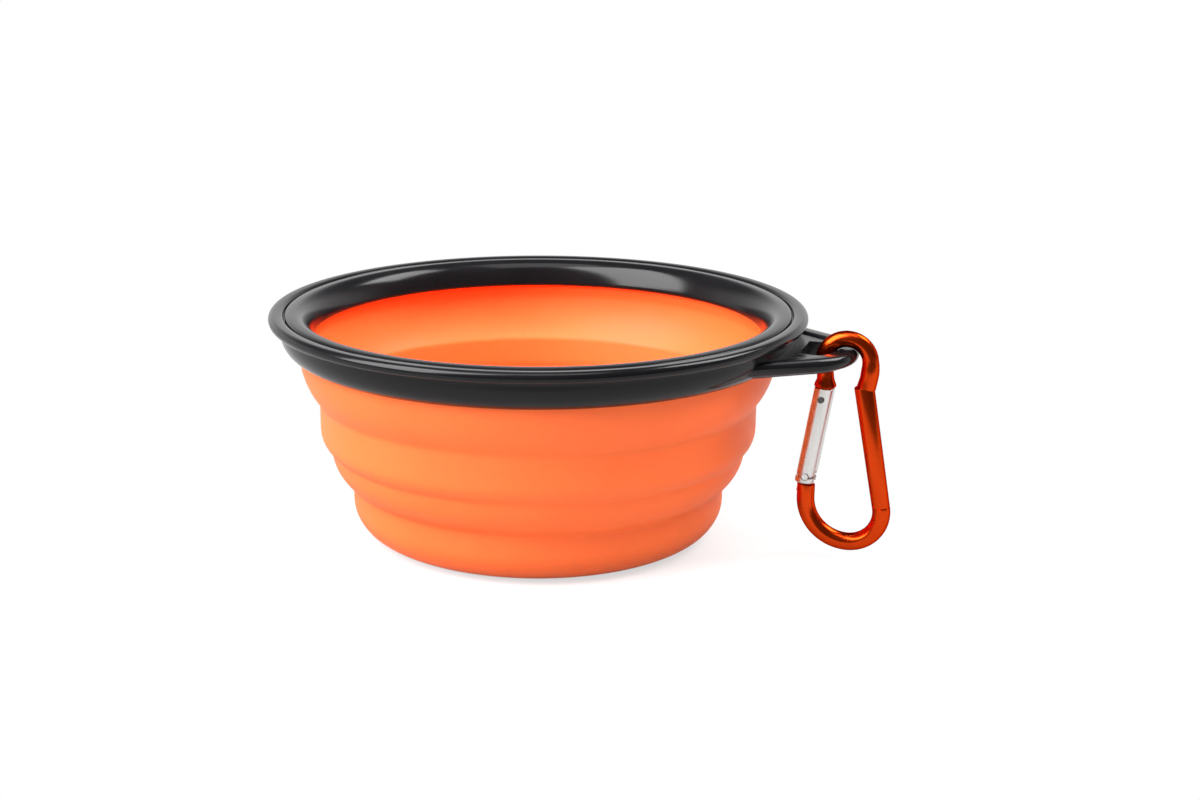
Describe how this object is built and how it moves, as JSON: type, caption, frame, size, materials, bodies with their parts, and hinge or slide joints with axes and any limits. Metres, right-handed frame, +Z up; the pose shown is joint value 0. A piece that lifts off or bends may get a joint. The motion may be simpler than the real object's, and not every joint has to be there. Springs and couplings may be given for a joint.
{
  "type": "collapsible bowl",
  "caption": "Collapsible silicone travel bowl with a stepped folding wall, a rigid two-piece rim with a slotted lug, and a small spring-gate carabiner hanging from it.",
  "frame": {"origin": "centre of the foot's underside, on the bowl's axis", "axes": "+Z up along the bowl's axis, +X towards the lug and the carabiner"},
  "size_m": [0.1521, 0.13, 0.0555],
  "materials": {
    "silicone": "matte moulded silicone",
    "rim_plastic": "satin",
    "anodised_wire": "glossy anodised",
    "bare_aluminium": "polished",
    "steel": "plain"
  },
  "bodies": {
    "foot": {"foot": "silicone", "lower_fold": "silicone"},
    "middle": {"middle_tier": "silicone", "upper_fold": "silicone"},
    "rim": {"upper_tier": "silicone", "outer_rim_ring": "rim_plastic", "inner_rim_ring": "rim_plastic"},
    "carabiner": {"carabiner_frame": "anodised_wire", "hinge_rivet": "steel"},
    "gate": {"gate_tube": "bare_aluminium", "latch_pin": "steel", "gate_spring": "steel"},
    "plunger": {"spring_plunger": "steel"}
  },
  "joints": [
    {"name": "lower_collapse", "type": "slide", "parent": "foot", "child": "middle", "axis": [0, 0, -1], "range_m": [0, 0.02], "deforming": ["lower_fold"]},
    {"name": "upper_collapse", "type": "slide", "parent": "middle", "child": "rim", "axis": [0, 0, -1], "range_m": [0, 0.014], "deforming": ["upper_fold"]},
    {"name": "carabiner_swing", "type": "hinge", "parent": "rim", "child": "carabiner", "pos_m": [0.0753, 0, 0.0477], "axis": [0, -1, 0], "range_deg": [-20, 110]},
    {"name": "gate_hinge", "type": "hinge", "parent": "carabiner", "child": "gate", "pos_m": [0.0671, 0, 0.0196], "axis": [0, 1, 0], "range_deg": [0, 13.7], "stiffness_Nm_per_rad": 0.03, "springref_deg": -17.19, "deforming": ["gate_spring"]},
    {"name": "plunger_slide", "type": "slide", "parent": "gate", "child": "plunger", "axis": [0.1547, 0, 0.988], "range_m": [0, 0.0004]}
  ],
  "couplings": [
    {"joint": "plunger_slide", "follows": "gate_hinge", "m_per_rad": 0.0013}
  ]
}
